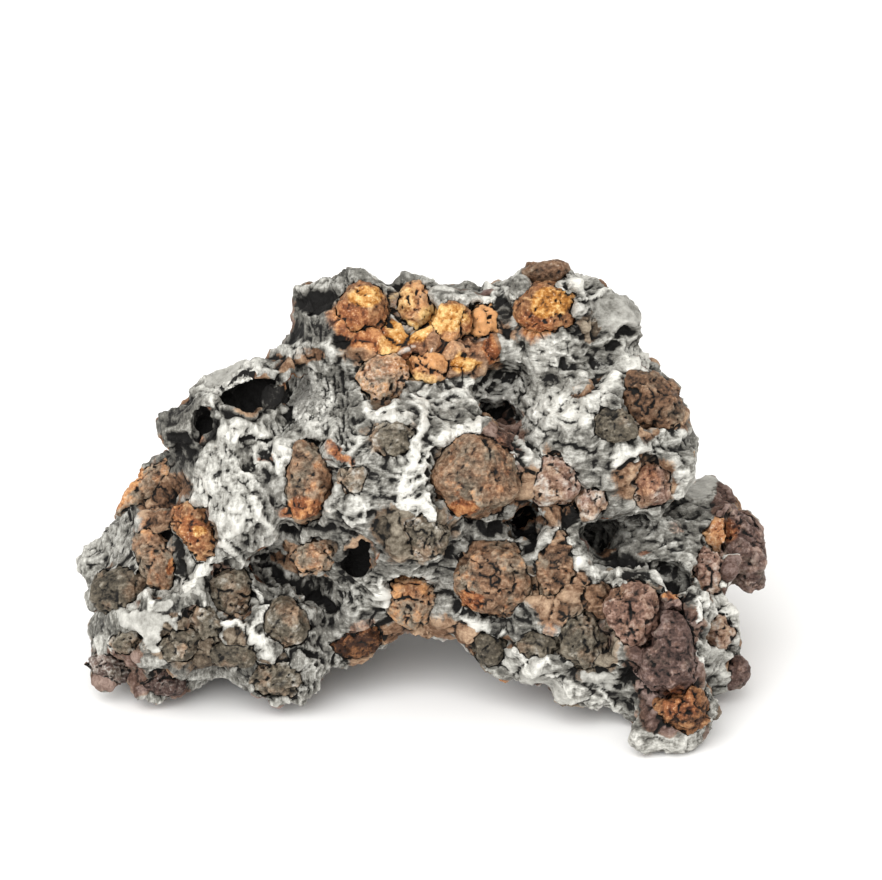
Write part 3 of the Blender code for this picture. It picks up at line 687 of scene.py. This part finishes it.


# Finishes. Each stone runs from its hollows over its body to its high spots, so its dark end is in part
# painted shade and its pale end in part a painted highlight.
stoneColours = {
    "gold": ((0.070, 0.022, 0.005), (0.420, 0.170, 0.030), (0.880, 0.600, 0.250)),
    "rust": ((0.034, 0.010, 0.005), (0.230, 0.074, 0.026), (0.620, 0.310, 0.125)),
    "amber": ((0.034, 0.013, 0.006), (0.225, 0.098, 0.040), (0.600, 0.380, 0.190)),
    "brown": ((0.020, 0.011, 0.007), (0.168, 0.090, 0.050), (0.460, 0.320, 0.210)),
    "umber": ((0.013, 0.011, 0.008), (0.096, 0.080, 0.057), (0.310, 0.275, 0.215)),
    "rose": ((0.024, 0.012, 0.009), (0.195, 0.108, 0.078), (0.540, 0.395, 0.320)),
    "plum": ((0.013, 0.007, 0.006), (0.094, 0.054, 0.044), (0.290, 0.215, 0.195)),
    "metal": ((0.012, 0.011, 0.010), (0.175, 0.169, 0.149), (0.700, 0.690, 0.640)),
}
# The other stones that a crystal of each kind turns to in patches, and how much of each.
crystalBlends = {
    "amber": (("brown", 0.35), ("rust", 0.30)),
    "brown": (("umber", 0.40), ("rust", 0.12)),
    "umber": (("brown", 0.30), ("metal", 0.12)),
    "rose": (("brown", 0.40), ("metal", 0.12)),
    "plum": (("umber", 0.25), ("rose", 0.25)),
}
rampPlaces = (0.12, 0.5, 0.98)
# black for the painted shade in hollows, cracks and seams
black = (0.005, 0.0045, 0.004, 1)
# cream for the painted glints on rust and gold
glintCream = (0.90, 0.78, 0.60, 1)

# Scale, detail and roughness of each noise.
noiseSettings = {
    "broad": (300, 4, 0.6),
    "middle": (820, 5, 0.65),
    "fine": (2700, 4, 0.7),
    "streak": (1250, 4, 0.65),
}

surfaceSettings = {
    "specular": 0.22,    # low, so that hollows stay dark under the pale sky
    "bump": 0.4 * mm,
    "goldLift": 0.06,
    "glintShare": 0.7,
    "sideways": (0.5, 0.6, 1.8),    # how a streak is drawn out
    "upright": (1.7, 0.8, 0.45),
}


# Effects that several materials share, each a node group.
def makeStoneGroup(kind):
    group, given, made = newGroup("stone_" + kind, {"Shade": "Float"}, {"Color": "Color"})
    stops = tuple(zip(rampPlaces, stoneColours[kind]))
    group.links.new(rampNode(group, given["Shade"], stops), made["Color"])


def makeGrainGroup():
    # noises from broad to fine, each about a half in the middle
    kinds = {"Broad": "Float", "Middle": "Float", "Fine": "Float"}
    group, given, made = newGroup("grain", {"Place": "Vector"}, kinds)
    for label in kinds:
        noise = noiseNode(group, given["Place"], *noiseSettings[label.lower()])
        group.links.new(noise, made[label])


def makeStreakGroup():
    # a noise drawn out one way
    group, given, made = newGroup("streaks", {"Place": "Vector", "Stretch": "Vector"}, {"Streak": "Float"})
    inputs = {0: given["Place"], 1: given["Stretch"]}
    stretched = addNode(group, "ShaderNodeVectorMath", inputs, operation="MULTIPLY").outputs["Vector"]
    group.links.new(noiseNode(group, stretched, *noiseSettings["streak"]), made["Streak"])


def makeLineGroup():
    # thin wandering lines where a noise crosses its middle
    group, given, made = newGroup("thin_lines", {"Noise": "Float", "Width": "Float"}, {"Line": "Float"})
    off = combine(group, "ABSOLUTE", combine(group, "SUBTRACT", given["Noise"], 0.5))
    group.links.new(between(group, off, given["Width"], 0.0), made["Line"])


def makeEmberGroup():
    # rust and gold over a colour, fading out raggedly, with cream flecks as painted glints
    s = surfaceSettings
    kinds = {"Color": "Color", "Shade": "Float", "Middle": "Float", "Fine": "Float"}
    kinds.update({"Rust": "Float", "Gold": "Float"})
    group, given, made = newGroup("rust_and_gold", kinds, {"Color": "Color"})
    colour, shade, middle, fine = (given[name] for name in ("Color", "Shade", "Middle", "Fine"))
    for mask, kind, lift in ((given["Rust"], "rust", 0.0), (given["Gold"], "gold", s["goldLift"])):
        stone = stoneColour(group, kind, combine(group, "ADD", shade, lift))
        ragged = weighted(group, (mask, 1.0), (middle, 0.9), (fine, 0.5))
        colour = mixColours(group, between(group, ragged, 0.85, 1.6), colour, stone)
        glintFleck = combine(group, "MULTIPLY", mask, between(group, fine, 0.58, 0.72))
        colour = mixColours(group, combine(group, "MULTIPLY", glintFleck, s["glintShare"]), colour, glintCream)
    group.links.new(colour, made["Color"])


def makeHollowGroup():
    # painted shade: black where a surface is low enough, for the shade in hollows, cracks and seams
    kinds = {"Color": "Color", "Low": "Float", "Start": "Float", "Full": "Float"}
    group, given, made = newGroup("painted_shade_hollows", kinds, {"Color": "Color"})
    share = between(group, given["Low"], given["Start"], given["Full"])
    group.links.new(mixColours(group, share, given["Color"], black), made["Color"])


def stoneColour(tree, kind, shade):
    return placeGroup(tree, "stone_" + kind, {"Shade": shade})["Color"]


def grainNoises(tree, place):
    made = placeGroup(tree, "grain", {"Place": place})
    return made["Broad"], made["Middle"], made["Fine"]


def streakNoise(tree, place, stretch):
    return placeGroup(tree, "streaks", {"Place": place, "Stretch": stretch})["Streak"]


def thinLines(tree, noise, width):
    return placeGroup(tree, "thin_lines", {"Noise": noise, "Width": width})["Line"]


def withEmbers(tree, colour, shade, middle, fine):
    inputs = {"Color": colour, "Shade": shade, "Middle": middle, "Fine": fine}
    inputs.update({"Rust": readAttribute(tree, "ember"), "Gold": readAttribute(tree, "gold")})
    return placeGroup(tree, "rust_and_gold", inputs)["Color"]


def withHollows(tree, colour, low, start, full):
    inputs = {"Color": colour, "Low": low, "Start": start, "Full": full}
    return placeGroup(tree, "painted_shade_hollows", inputs)["Color"]


# The metal: each pair is where an effect starts and where it is full.
metalFinish = {
    "streakTurn": (-8 * mm, -14 * mm),    # across: streaks stand upright left of here
    "crackWidth": 0.035,
    "crackPatches": (0.42, 0.6),
    "earthEdge": (1.0, 1.35),
    "plateEdge": (0.3, 0.42),
    "hollows": (0.72, 1.17),
    "shinyMetal": (0.45, 0.9),
    "metallic": 0.4,
    "smoothMetal": (0.35, 0.9),
    "roughest": 0.7,
    "smoother": -0.25,
}


def makeMetal():
    s = metalFinish
    material, tree, shader = newMaterial("nickel_iron")
    place = objectPlace(tree)
    broad, middle, fine = grainNoises(tree, place)
    shader.inputs["Specular IOR Level"].default_value = surfaceSettings["specular"]
    ridge, tone, shade_seam = (readAttribute(tree, name) for name in ("ridge", "tone", "shade_seam"))
    bright, plate, dark, dull_and_shade = (readAttribute(tree, name) for name in ("bright", "plate", "dark", "dull_and_shade"))
    earth, olive, plum = (readAttribute(tree, name) for name in ("earth", "olive", "plum"))
    # the metal is drawn out upright on the left flank, sideways elsewhere
    across = addNode(tree, "ShaderNodeSeparateXYZ", {"Vector": place}).outputs["X"]
    turn = {"Factor": between(tree, across, *s["streakTurn"])}
    turn["A"] = streakNoise(tree, place, surfaceSettings["sideways"])
    turn["B"] = streakNoise(tree, place, surfaceSettings["upright"])
    streak = addNode(tree, "ShaderNodeMix", turn).outputs["Result"]
    lines = thinLines(tree, streak, s["crackWidth"])
    crack = combine(tree, "MULTIPLY", lines, between(tree, broad, *s["crackPatches"]))
    # bare metal, from its hollows to its high spots; the ridge term paints highlights on crests and shade
    # in hollows
    shine = weighted(
        tree, (bright, 0.42), (dark, -0.5), (dull_and_shade, -0.2), (ridge, 0.2),
        (tone, 0.12), (broad, 0.4), (middle, 0.5), (fine, 0.7), (streak, 1.0),
    )
    shine = combine(tree, "SUBTRACT", shine, 0.86)
    metal = stoneColour(tree, "metal", shine)
    # stone crusts over it, paler on ridges as a painted highlight
    shade = weighted(
        tree, (tone, 0.35), (ridge, 0.2), (broad, 0.4), (middle, 0.6), (fine, 0.9), (streak, 0.6)
    )
    shade = combine(tree, "SUBTRACT", shade, 0.79)
    stone = stoneColour(tree, "brown", shade)
    stone = mixColours(tree, olive, stone, stoneColour(tree, "umber", shade))
    stone = mixColours(tree, plum, stone, stoneColour(tree, "plum", shade))
    ragged = weighted(tree, (earth, 1.0), (middle, 0.9), (fine, 0.5))
    colour = mixColours(tree, between(tree, ragged, *s["earthEdge"]), metal, stone)
    colour = withEmbers(tree, colour, shade, middle, fine)
    # smooth plates, paler on ridges as a painted highlight, then the hollows painted black as shade
    edge = combine(tree, "MULTIPLY_ADD", combine(tree, "SUBTRACT", fine, 0.5), 0.5, plate)
    plateShade = weighted(tree, (plate, 0.35), (middle, 0.3), (fine, 0.35), (ridge, 0.15), (streak, 0.3))
    plateColour = stoneColour(tree, "metal", combine(tree, "SUBTRACT", plateShade, 0.05))
    colour = mixColours(tree, between(tree, edge, *s["plateEdge"]), colour, plateColour)
    hollow = weighted(
        tree, (ridge, -0.8), (dark, 0.85), (bright, -0.15), (fine, 1.0), (crack, 0.4), (shade_seam, 0.9)
    )
    colour = withHollows(tree, colour, hollow, *s["hollows"])
    tree.links.new(colour, shader.inputs["Base Color"])
    bare = combine(tree, "SUBTRACT", 1.0, earth)
    metallic = combine(tree, "MULTIPLY", between(tree, shine, *s["shinyMetal"]), bare)
    tree.links.new(combine(tree, "MULTIPLY", metallic, s["metallic"]), shader.inputs["Metallic"])
    smooth = between(tree, shine, *s["smoothMetal"])
    rough = combine(tree, "MULTIPLY_ADD", smooth, s["smoother"], s["roughest"])
    tree.links.new(rough, shader.inputs["Roughness"])
    height = weighted(tree, (middle, 0.35), (fine, 0.35), (streak, 0.6))
    tree.links.new(bumped(tree, height, 1.0, surfaceSettings["bump"]), shader.inputs["Normal"])
    return material


crystalFinish = {
    "crackWidth": 0.03,
    "crackPatches": (0.4, 0.6),
    "patchSpread": 0.35,
    "patchEdge": 0.14,
    "patchShare": 0.85,
    "dust": (1.15, 1.8),
    "hollows": (0.7, 1.15),
    "roughness": 0.5,
}


def makeCrystalMaterial(kind):
    s = crystalFinish
    material, tree, shader = newMaterial("olivine_" + kind)
    place = objectPlace(tree)
    broad, middle, fine = grainNoises(tree, place)
    streak = streakNoise(tree, place, surfaceSettings["sideways"])
    shader.inputs["Specular IOR Level"].default_value = surfaceSettings["specular"]
    shader.inputs["Roughness"].default_value = s["roughness"]
    ridge, crack, shade_seam = (readAttribute(tree, name) for name in ("ridge", "crack", "shade_seam"))
    tone, coat = (readAttribute(tree, name) for name in ("tone", "coat"))
    lines = thinLines(tree, streak, s["crackWidth"])
    line = combine(tree, "MULTIPLY", lines, between(tree, middle, *s["crackPatches"]))
    # the ridge term paints highlights on crests and shade in hollows
    shade = weighted(
        tree, (tone, 0.40), (ridge, 0.2), (broad, 0.4), (middle, 0.7), (fine, 1.1), (streak, 0.7)
    )
    shade = combine(tree, "SUBTRACT", shade, 0.95)
    colour = stoneColour(tree, kind, shade)
    for (other, share), noise in zip(crystalBlends[kind], (broad, middle)):
        turn = 0.5 + (0.5 - share) * s["patchSpread"]
        where = combine(tree, "MULTIPLY_ADD", tone, 0.2, noise)
        patch = between(tree, where, turn - s["patchEdge"], turn + s["patchEdge"])
        patch = combine(tree, "MULTIPLY", patch, s["patchShare"])
        colour = mixColours(tree, patch, colour, stoneColour(tree, other, shade))
    colour = withEmbers(tree, colour, shade, middle, fine)
    coated = weighted(tree, (coat, 1.0), (middle, 0.8), (fine, 1.2))
    dusty = between(tree, coated, *s["dust"])
    colour = mixColours(tree, dusty, colour, stoneColour(tree, "metal", shade))
    # painted shade: black in cracks, creases, pits, low spots and where the crystal meets the metal
    low = weighted(tree, (crack, 0.9), (ridge, -0.6), (fine, 0.9), (line, 0.35), (shade_seam, 0.9))
    colour = withHollows(tree, colour, low, *s["hollows"])
    tree.links.new(colour, shader.inputs["Base Color"])
    height = weighted(tree, (middle, 0.6), (fine, 0.5), (streak, 0.3))
    tree.links.new(bumped(tree, height, 1.0, surfaceSettings["bump"]), shader.inputs["Normal"])
    return material


for stoneKind in stoneColours:
    makeStoneGroup(stoneKind)
makeGrainGroup()
makeStreakGroup()
makeLineGroup()
makeEmberGroup()
makeHollowGroup()


# Each crystal: its own solid, rounded off, then broken and weathered.
crystalShape = {
    "step": 0.25,
    "rounding": 4,
    "swell": 0.06,
    "bulge": 0.42,
    "bulgeScale": 4.0,
    "lump": 0.24,
    "lumpScale": 1.8,
    "chip": 0.34,
    "chipScale": 2.3,
    "grit": 0.13,
    "gritScale": 0.7,
    "pit": 0.35,
    "pitScale": 1.0,
    "cleft": 0.7,
    "spike": 0.35,
    "fineRelief": 0.09,
    "broadRelief": 0.30,
}

# How grey with metal dust a crystal is.
crystalCoats = {
    "olivine_left_09": 0.35,
    "olivine_left_10": 0.25,
    "olivine_left_12": 0.15,
    "olivine_left_14": 0.15,
    "olivine_centre_13": 0.25,
    "olivine_crown_02": 0.1,
    "olivine_crown_04": 0.1,
    "olivine_crown_06": 0.15,
    "olivine_crown_07": 0.1,
    "olivine_right_05": 0.2,
}
# How much paler or darker than its kind a crystal is.
crystalTones = {
    "olivine_left_01": -0.4,
    "olivine_left_03": -0.15,
    "olivine_left_09": -0.15,
    "olivine_left_10": -0.55,
    "olivine_left_12": 0.45,
    "olivine_left_13": -1.1,
    "olivine_left_14": 0.35,
    "olivine_left_15": -0.25,
    "olivine_centre_04": 0.35,
    "olivine_centre_06": 0.2,
    "olivine_centre_08": 0.25,
    "olivine_centre_09": -0.2,
    "olivine_centre_10": 0.4,
    "olivine_centre_11": -0.6,
    "olivine_centre_12": -0.3,
    "olivine_centre_13": 0.65,
    "olivine_crown_01": -0.15,
    "olivine_crown_02": 0.5,
    "olivine_crown_03": 0.15,
    "olivine_crown_04": 1.5,
    "olivine_crown_05": -0.2,
    "olivine_crown_06": -0.45,
    "olivine_crown_07": 0.5,
    "olivine_right_01": -0.4,
    "olivine_right_02": -0.4,
    "olivine_right_05": 0.4,
    "olivine_right_09": -0.3,
    "olivine_right_10": -0.35,
    "olivine_right_11": -0.55,
    "olivine_right_12": -0.2,
    "olivine_right_13": -0.1,
    "olivine_right_14": -0.35,
}


def brokenStrokes(place):
    # the face's strokes, wandering, uneven in width and broken here and there
    bent = facePlaces(warped(warped(place, 2.2, 0.45, 41), 0.8, 0.22, 44) * mm)
    uneven = layered(place, 1.6, 2, 47)
    clefts = strokeStrength(bent, faceStrokes["cleft"], 0.1) * np.clip(0.75 + 0.9 * uneven, 0, 1)
    veins = strokeStrength(bent, faceStrokes["vein"], 0.6) * np.clip(0.9 + 0.5 * uneven, 0, 1)
    return {"cleft": clefts, "vein": veins}


def makeCrystal(name, number):
    s = crystalShape
    mesh = refined(cadMesh(name), s["step"] * mm)
    edges = edgeEnds(mesh)
    points = averaged(vertexPlaces(mesh), edges, s["rounding"])
    placeVertices(mesh, points)
    normals = vertexNormals(mesh)
    place = points / mm
    salt = 1000 + 97 * number
    facing = smoothStep(-0.1, 0.3, normals @ toward)
    bent = warped(place, 1.6, 0.35, salt)
    facePlace = facePlaces(bent * mm)
    cleft = brokenStrokes(place)["cleft"] * facing
    chipGap, chipNumber, chipTilt = grains(warped(place, 1.2, 0.3, salt + 5), s["chipScale"], salt)
    crease = smoothStep(0.16, 0.0, chipGap)
    wear = 0.5 + number * 0.618 % 1.0    # some crystals are smoother than others
    move = s["swell"] + layered(place, s["bulgeScale"], 2, salt + 1) * s["bulge"]
    move += (ridges(bent, s["lumpScale"], 3, salt + 2) - 0.5) * s["lump"] * wear
    move += (0.6 * chipNumber - 0.3 + 0.9 * chipTilt - 0.15 * crease) * s["chip"] * wear
    move += layered(place, s["gritScale"], 2, salt + 3) * s["grit"]
    pits = smoothStep(0.45, 0.8, layered(bent, s["pitScale"], 2, salt + 4)) * wear
    move -= cleft * s["cleft"] + pits * s["pit"]
    points = insideFrame(despiked(points + normals * move[:, None] * mm, edges, s["spike"] * mm))
    placeVertices(mesh, points)
    normals = vertexNormals(mesh)
    fineRelief = reliefOf(points, normals, edges, 5, s["fineRelief"] * mm)
    broadRelief = reliefOf(points, normals, edges, 25, s["broadRelief"] * mm)
    setAttribute(mesh, "ridge", 0.6 * fineRelief + 0.6 * broadRelief)
    # clefts, creases and pits, which the material paints black as shade
    setAttribute(mesh, "crack", np.maximum.reduce([cleft, 0.2 * crease, 0.5 * pits]))
    setAttribute(mesh, "coat", np.full(len(points), crystalCoats.get(name, 0.0)))
    for kind in ("ember", "gold"):
        setAttribute(mesh, kind, areaStrength(facePlace, faceAreas[kind]) * facing)
    setAttribute(mesh, "tone", chipNumber * 0.4 - 0.2 + crystalTones.get(name, 0.0))
    return mesh


# The matrix: its solid, softened, then torn into crags and flakes.
matrixShape = {
    "step": 0.28,
    "softening": 9,
    "crag": 0.9,
    "cragScale": 6.5,
    "flake": 0.65,
    "flakeScale": 2.7,
    "grain": 0.55,
    "grainScale": 2.3,
    "grit": 0.10,
    "gritScale": 0.75,
    "hollow": 1.3,
    "cleft": 1.1,
    "vein": 0.35,
    "fill": 0.45,
    "fillReach": 2.6,
    "gap": 0.12,
    "gapReach": 1.5,
    # reach of the painted shade where crystal and metal meet
    "shade_seam": 0.38,
    "spike": 0.24,
    "fineRelief": 0.10,
    "broadRelief": 0.45,
    "slabs": 4,
}


def faceMasks(points, normals):
    # what the face shows where it can be seen, and scattered patches elsewhere
    place = points / mm
    facing = smoothStep(-0.15, 0.25, normals @ toward)
    bent = warped(warped(place, 3.0, 0.7, 31), 0.9, 0.22, 37)
    facePlace = facePlaces(bent * mm)
    masks = {kind: areaStrength(facePlace, rows) * facing for kind, rows in faceAreas.items()}
    for kind, strength in brokenStrokes(place).items():
        masks[kind] = strength * facing
    hidden = 1 - facing
    scattered = {
        "bright": smoothStep(0.12, 0.45, layered(bent, 9.0, 3, 51)) * 0.85,
        "brown": smoothStep(-0.15, 0.1, layered(bent, 7.0, 3, 52)) * 0.9,
        "olive": smoothStep(0.2, 0.4, layered(bent, 8.0, 2, 53)),
        "plum": smoothStep(0.2, 0.4, layered(bent, 8.0, 2, 54)),
        "ember": smoothStep(0.4, 0.65, layered(bent, 6.0, 2, 55)) * 0.8,
        "dark": smoothStep(0.35, 0.6, layered(bent, 5.0, 2, 56)),
        "dull_and_shade": smoothStep(0.0, 0.4, layered(bent, 10.0, 2, 57)) * 0.8,
    }
    for kind, mask in scattered.items():
        masks[kind] = np.maximum(masks[kind], mask * hidden)
    masks["earth"] = np.maximum.reduce([masks["brown"], masks["olive"], masks["plum"]])
    masks["bright"] = np.maximum(masks["bright"], 1.1 * masks["vein"])
    masks["earth"] *= 1 - smoothStep(0.3, 0.7, masks["bright"])
    masks["dull_and_shade"] *= 1 - np.clip(masks["vein"], 0, 1)
    masks["plate"] *= 1 - np.clip(masks["vein"], 0, 1)
    # clefts join the dark areas, and their black is painted shade
    masks["dark"] = np.maximum(masks["dark"], masks["cleft"])
    return masks


def makeMatrix(crystalTree):
    s = matrixShape
    mesh = refined(cadMesh("nickel_iron_matrix"), s["step"] * mm)
    print("matrix", len(mesh.vertices), "points")
    edges = edgeEnds(mesh)
    points = averaged(vertexPlaces(mesh), edges, s["softening"])
    placeVertices(mesh, points)
    normals = vertexNormals(mesh)
    place = points / mm
    masks = faceMasks(points, normals)
    closest = np.array([crystalTree.find_nearest(Vector(p))[0] for p in points])
    outward = averaged(normals, edges, 25)
    outward /= np.linalg.norm(outward, axis=1)[:, None] + 1e-9
    near = np.linalg.norm(closest - points, axis=1) / mm
    warp = warped(place, 3.5, 0.8, 61)
    calm = 1 - 0.85 * smoothStep(0.25, 0.5, np.maximum(masks["plate"], 0.7 * masks["vein"]))
    calm *= 1 - 0.4 * masks["dull_and_shade"]
    leftward = smoothStep(-8, -14, place[:, 0])[:, None]
    stretch = leftward * np.array((1.5, 1.0, 0.6)) + (1 - leftward) * np.array((0.6, 1.0, 1.5))
    flakes = ridges(warp * stretch, s["flakeScale"], 3, 63) - 0.45
    grainGap, grainNumber, grainTilt = grains(warped(place, 1.5, 0.35, 65), s["grainScale"], 66)
    facets = 0.5 * grainNumber - 0.7 + 0.7 * grainTilt + 0.8 * smoothStep(0.0, 0.5, grainGap)
    uneven = layered(place, 3.0, 2, 67)
    rugged = 0.35 + 0.85 * smoothStep(-0.3, 0.3, layered(place, 7.0, 2, 68))
    # the metal rises round each crystal and closes on it
    fill = s["fill"] * smoothStep(s["fillReach"], 0.8, near) * np.clip(0.8 + 1.2 * uneven, 0, 1.5)
    close = smoothStep(s["gapReach"], 0.5, near) * np.clip(1 - s["gap"] / np.maximum(near, 1e-3), 0, 1)
    move = (ridges(warp, s["cragScale"], 3, 62) - 0.5) * s["crag"] * (0.4 + 0.6 * calm)
    stony = np.maximum.reduce([masks["earth"], masks["ember"], masks["gold"]])
    move += flakes * s["flake"] * calm * (1 - 0.7 * stony) * rugged
    move += facets * s["grain"] * calm * (0.5 + 0.5 * stony)
    move += layered(place, s["gritScale"], 2, 64) * s["grit"] * (0.3 + 0.7 * calm) * rugged
    move *= 0.4 + 0.6 * smoothStep(0.1, 1.3, near)
    move += s["vein"] * masks["vein"] - s["cleft"] * masks["cleft"]
    move -= s["hollow"] * np.where(masks["cleft"] < masks["dark"], masks["dark"], 0.0)
    points = points + (closest - points) * close[:, None] + outward * fill[:, None] * mm
    points = insideFrame(despiked(points + normals * move[:, None] * mm, edges, s["spike"] * mm))
    placeVertices(mesh, points)
    normals = vertexNormals(mesh)
    fineRelief = reliefOf(points, normals, edges, 5, s["fineRelief"] * mm)
    broadRelief = reliefOf(points, normals, edges, 40, s["broadRelief"] * mm)
    setAttribute(mesh, "ridge", 0.6 * fineRelief + 0.7 * broadRelief)
    for kind in ("bright", "plate", "dark", "dull_and_shade", "ember", "gold", "earth", "olive", "plum"):
        setAttribute(mesh, kind, masks[kind])
    setAttribute(mesh, "tone", grainNumber - 0.5)
    setAttribute(mesh, "shade_seam", shadeSeamOf(points, crystalTree))
    return mesh


def shadeSeamOf(points, tree):
    # painted shade where crystal and metal meet: 1 where the other surface touches, 0 a little way off
    gaps = np.array([tree.find_nearest(Vector(p))[3] for p in points]) / mm
    return smoothStep(matrixShape["shade_seam"], 0.1, gaps)


def treeOf(meshes):
    work = bmesh.new()
    for mesh in meshes:
        work.from_mesh(mesh)
    tree = BVHTree.FromBMesh(work)
    work.free()
    return tree


def splitMesh(mesh, count):
    # slabs along X with the whole surface's normals, so that no seam shows
    normals = vertexNormals(mesh)
    setAttribute(mesh, "origin", np.arange(len(mesh.vertices)))
    middles = np.empty(len(mesh.polygons) * 3)
    mesh.polygons.foreach_get("center", middles)
    across = middles.reshape(-1, 3)[:, 0]
    limits = np.quantile(across, np.linspace(0, 1, count + 1)[1:-1])
    home = np.searchsorted(limits, across, side="right")
    parts = []
    for k in range(count):
        work = bmesh.new()
        work.from_mesh(mesh)
        away = [face for face, slab in zip(work.faces, home) if slab != k]
        bmesh.ops.delete(work, geom=away, context="FACES")
        part = bpy.data.meshes.new("slab")
        work.to_mesh(part)
        work.free()
        origins = np.empty(len(part.vertices), dtype=np.float32)
        part.attributes["origin"].data.foreach_get("value", origins)
        part.attributes.remove(part.attributes["origin"])
        part.normals_split_custom_set_from_vertices(normals[origins.round().astype(int)].tolist())
        parts.append(part)
    return parts


crystalNames = sorted(name for name in frame["nodes"] if name.startswith("olivine"))
crystalMaterials = {kind: makeCrystalMaterial(kind) for kind in crystalBlends}
crystalSlots = {row["node"]: row["material_slot"] for row in frame["record"]["subparts"]}
crystalMeshes = {name: makeCrystal(name, number) for number, name in enumerate(crystalNames)}
print("crystals", len(crystalMeshes), "faces", sum(len(m.polygons) for m in crystalMeshes.values()))

metal = makeMetal()
matrixMesh = makeMatrix(treeOf(crystalMeshes.values()))
for number, part in enumerate(splitMesh(matrixMesh, matrixShape["slabs"]), 1):
    slab = addPiece(f"matrix_{number}", part, metal)
    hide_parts("nickel_iron_matrix")
print("matrix faces", len(matrixMesh.polygons))

matrixTree = treeOf([matrixMesh])
for name, mesh in crystalMeshes.items():
    setAttribute(mesh, "shade_seam", shadeSeamOf(vertexPlaces(mesh), matrixTree))
    kind = crystalSlots[name]
    piece = addPiece(name + "_stone", mesh, crystalMaterials[kind])
    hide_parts(name)
print("crystals placed")

# Floor, light and camera.
stageSettings = {
    "floorSize": 3.0,
    "floorColour": (0.92, 0.92, 0.92, 1),
    "floorRoughness": 0.9,
    "world": 1.0,
    "worldColour": (1.0, 0.985, 0.955, 1),
    "key": 6.0,
    "keySize": 0.8,
    "keyPlace": (-0.22, -0.50, 0.52),
}

floorWork = bmesh.new()
bmesh.ops.create_grid(floorWork, x_segments=1, y_segments=1, size=stageSettings["floorSize"] / 2)
floorMesh = bpy.data.meshes.new("floor")
floorWork.to_mesh(floorMesh)
floorWork.free()
floor = bpy.data.objects.new("floor", floorMesh)
bpy.context.scene.collection.objects.link(floor)
floorMaterial, floorTree, floorShader = newMaterial("floor")
floorShader.inputs["Base Color"].default_value = stageSettings["floorColour"]
floorShader.inputs["Roughness"].default_value = stageSettings["floorRoughness"]
floorMesh.materials.append(floorMaterial)

world = bpy.data.worlds.new("studio")
world.use_nodes = True
world.node_tree.nodes["Background"].inputs["Color"].default_value = stageSettings["worldColour"]
world.node_tree.nodes["Background"].inputs["Strength"].default_value = stageSettings["world"]
bpy.context.scene.world = world


def addAreaLight(name, place, target, size, power):
    light = bpy.data.lights.new(name, "AREA")
    light.size = size
    light.energy = power
    lamp = bpy.data.objects.new(name, light)
    lamp.location = place
    lamp.rotation_euler = (Vector(target) - Vector(place)).to_track_quat("-Z", "Y").to_euler()
    bpy.context.scene.collection.objects.link(lamp)


addAreaLight("key", stageSettings["keyPlace"], (0, 0, 0.02), stageSettings["keySize"], stageSettings["key"])

cameraData = bpy.data.cameras.new("camera")
cameraData.lens = viewSettings["lens"]
cameraData.sensor_width = viewSettings["sensor"]
cameraData.clip_start, cameraData.clip_end = 0.01, 10
camera = bpy.data.objects.new("camera", cameraData)
camera.location = eye
camera.rotation_euler = (math.pi / 2 - tilt, 0, 0)
bpy.context.scene.collection.objects.link(camera)
bpy.context.scene.camera = camera
bpy.context.scene.view_settings.view_transform = "Standard"
